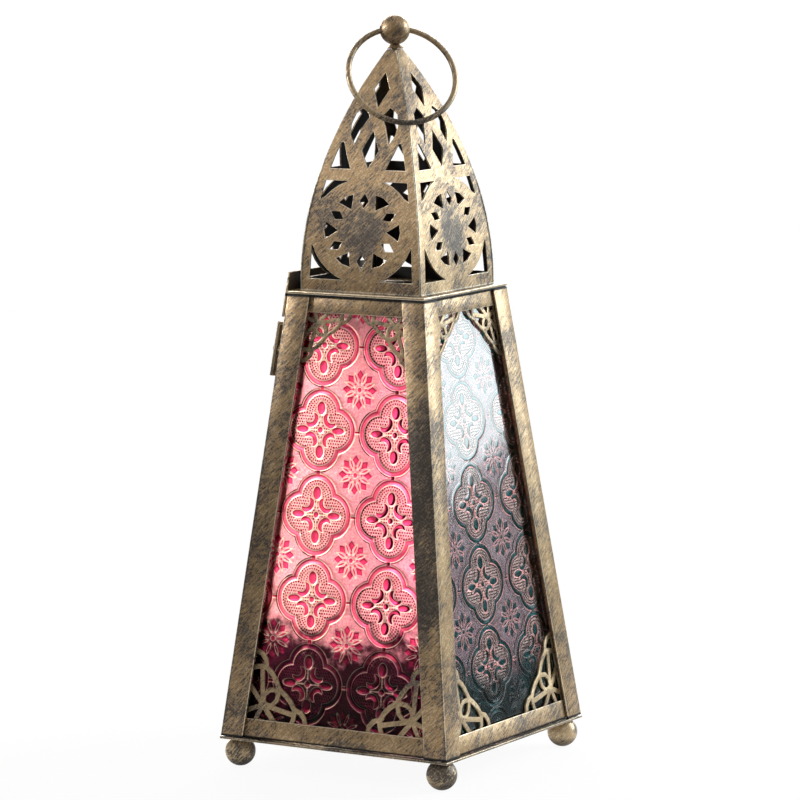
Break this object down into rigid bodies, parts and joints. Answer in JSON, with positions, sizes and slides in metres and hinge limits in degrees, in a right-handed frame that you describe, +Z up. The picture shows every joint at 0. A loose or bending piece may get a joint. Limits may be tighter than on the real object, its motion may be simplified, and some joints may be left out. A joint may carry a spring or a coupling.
{
  "type": "moroccan lantern",
  "caption": "Square tapered brass candle lantern with pressed coloured glass, a hinged glass door, fretted corner brackets, a pierced dome and a hanging ring.",
  "frame": {"origin": "on the floor, under the centre of the square body, level with the flats of the ball feet", "axes": "+Z up through the finial, -Y out of the pink front pane, +X out of the teal pane, -X out of the door"},
  "size_m": [0.108, 0.1068, 0.2995],
  "materials": {
    "antique_brass": "antique brass dry-brushed over black, satin",
    "dark_brass": "blackened brass, satin",
    "worn_brass": "antique brass worn bright, satin",
    "glass_pink": "pressed glass, pink, polished",
    "glass_teal": "pressed glass, teal, polished",
    "glass_ruby": "pressed glass, ruby, polished",
    "glass_amber": "pressed glass, amber, polished"
  },
  "bodies": {
    "body": {"base_plate": "dark_brass", "foot_front_left": "antique_brass", "foot_front_right": "antique_brass", "foot_back_right": "antique_brass", "foot_back_left": "antique_brass", "post_front_right": "antique_brass", "post_back_right": "antique_brass", "post_back_left": "antique_brass", "post_front_left": "antique_brass", "bottom_rail_front": "antique_brass", "bottom_rail_right": "antique_brass", "bottom_rail_back": "antique_brass", "bottom_rail_door": "antique_brass", "top_rail_front": "antique_brass", "top_rail_right": "antique_brass", "top_rail_back": "antique_brass", "top_rail_door": "antique_brass", "glass_front": "glass_pink", "glass_right": "glass_teal", "glass_back": "glass_ruby", "retainer_front": "dark_brass", "retainer_right": "dark_brass", "retainer_back": "dark_brass", "bracket_front_bottom_left": "antique_brass", "bracket_front_bottom_right": "antique_brass", "bracket_front_top_left": "antique_brass", "bracket_front_top_right": "antique_brass", "bracket_right_bottom_left": "antique_brass", "bracket_right_bottom_right": "antique_brass", "bracket_right_top_left": "antique_brass", "bracket_right_top_right": "antique_brass", "bracket_back_bottom_left": "antique_brass", "bracket_back_bottom_right": "antique_brass", "bracket_back_top_left": "antique_brass", "bracket_back_top_right": "antique_brass", "hinge_bottom_post_leaf": "dark_brass", "hinge_bottom_pin": "worn_brass", "hinge_top_post_leaf": "dark_brass", "hinge_top_pin": "worn_brass", "catch_rivet": "worn_brass", "roof_plate": "antique_brass", "dome_panel_front": "antique_brass", "dome_panel_right": "antique_brass", "dome_panel_back": "antique_brass", "dome_panel_door": "antique_brass", "finial": "worn_brass"},
    "door": {"door_stile_hinge": "antique_brass", "door_stile_catch": "antique_brass", "door_bottom_rail": "antique_brass", "door_head_lip": "antique_brass", "glass_door": "glass_amber", "retainer_door": "dark_brass", "bracket_door_bottom_left": "antique_brass", "bracket_door_bottom_right": "antique_brass", "bracket_door_top_left": "antique_brass", "bracket_door_top_right": "antique_brass", "hinge_bottom_door_leaf": "worn_brass", "hinge_top_door_leaf": "worn_brass"},
    "catch": {"catch_strip": "dark_brass"},
    "ring": {"ring": "worn_brass"}
  },
  "joints": [
    {"name": "door_hinge", "type": "hinge", "parent": "body", "child": "door", "pos_m": [-0.05199, 0.05121, 0.03649], "axis": [-0.1181, 0.1181, -0.986], "range_deg": [0, 115]},
    {"name": "catch_turn", "type": "hinge", "parent": "body", "child": "catch", "pos_m": [-0.03452, -0.0313, 0.16718], "axis": [0.9929, 0, -0.1189], "range_deg": [0, 90]},
    {"name": "ring_swing", "type": "hinge", "parent": "body", "child": "ring", "pos_m": [0, 0, 0.2935], "axis": [-0.7071, -0.7071, 0], "range_deg": [0, 292]}
  ]
}
